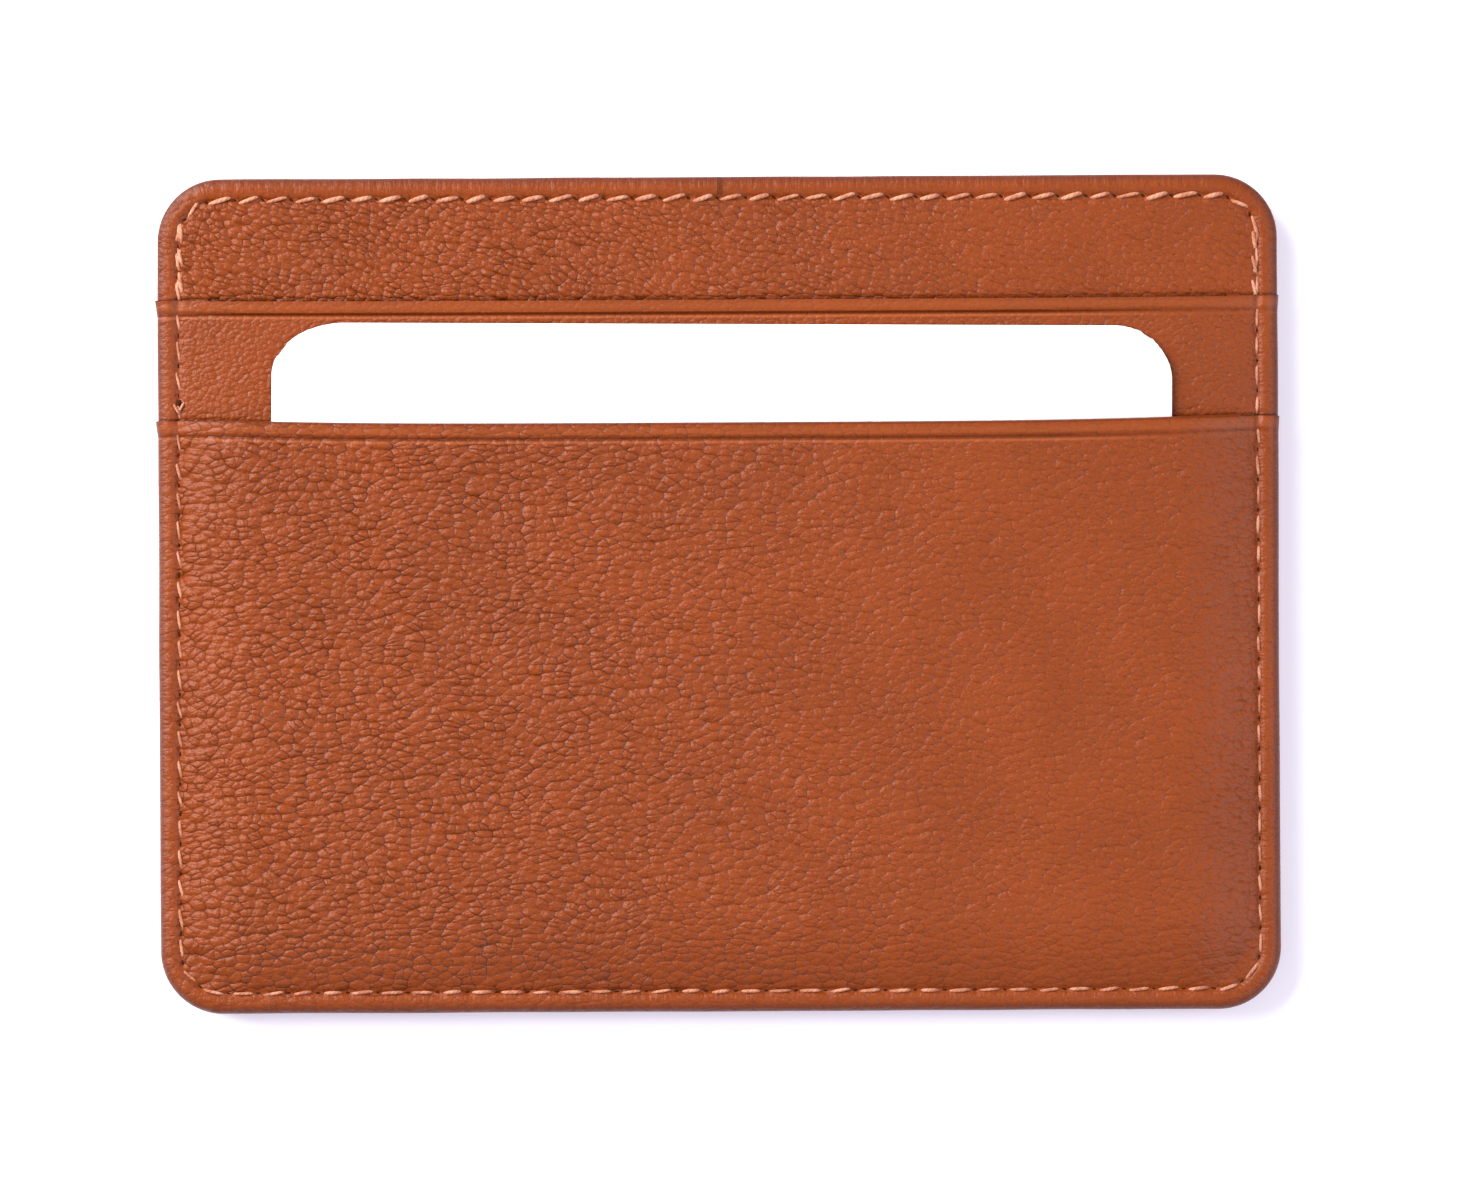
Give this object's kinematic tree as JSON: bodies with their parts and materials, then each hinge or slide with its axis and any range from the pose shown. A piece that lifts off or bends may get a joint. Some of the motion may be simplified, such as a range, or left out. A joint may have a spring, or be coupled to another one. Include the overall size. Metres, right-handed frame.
{
  "type": "card holder",
  "caption": "Slim sewn leather card holder with an open middle compartment, card pockets on both sides and a blank card that slides out of the front pocket.",
  "frame": {"origin": "middle of the holder's footprint, on the surface that its back rests on", "axes": "+X across the width, to the right seen from the front; +Y towards the open top edge; +Z out of the front face"},
  "size_m": [0.1, 0.0746, 0.0055],
  "materials": {
    "leather": "semi-matt pebbled grain",
    "lining": "woven",
    "board": "matt",
    "thread": "waxed",
    "card": "matt"
  },
  "bodies": {
    "holder": {"front_panel": "leather", "front_upper_pocket": "leather", "front_lower_pocket": "leather", "front_compartment_lining": "lining", "front_upper_pocket_lining": "lining", "front_lower_pocket_lining": "lining", "front_stiffener": "board", "front_hem_stitching": "thread", "front_seam_stitching": "thread", "front_tack_stitches": "thread", "back_panel": "leather", "back_upper_pocket": "leather", "back_lower_pocket": "leather", "back_compartment_lining": "lining", "back_upper_pocket_lining": "lining", "back_lower_pocket_lining": "lining", "back_stiffener": "board", "back_hem_stitching": "thread", "back_seam_stitching": "thread", "back_tack_stitches": "thread"},
    "card": {"blank_card": "card"}
  },
  "joints": [
    {"name": "card_slide", "type": "slide", "parent": "holder", "child": "card", "axis": [0, 1, 0], "range_m": [0, 0.048]}
  ]
}
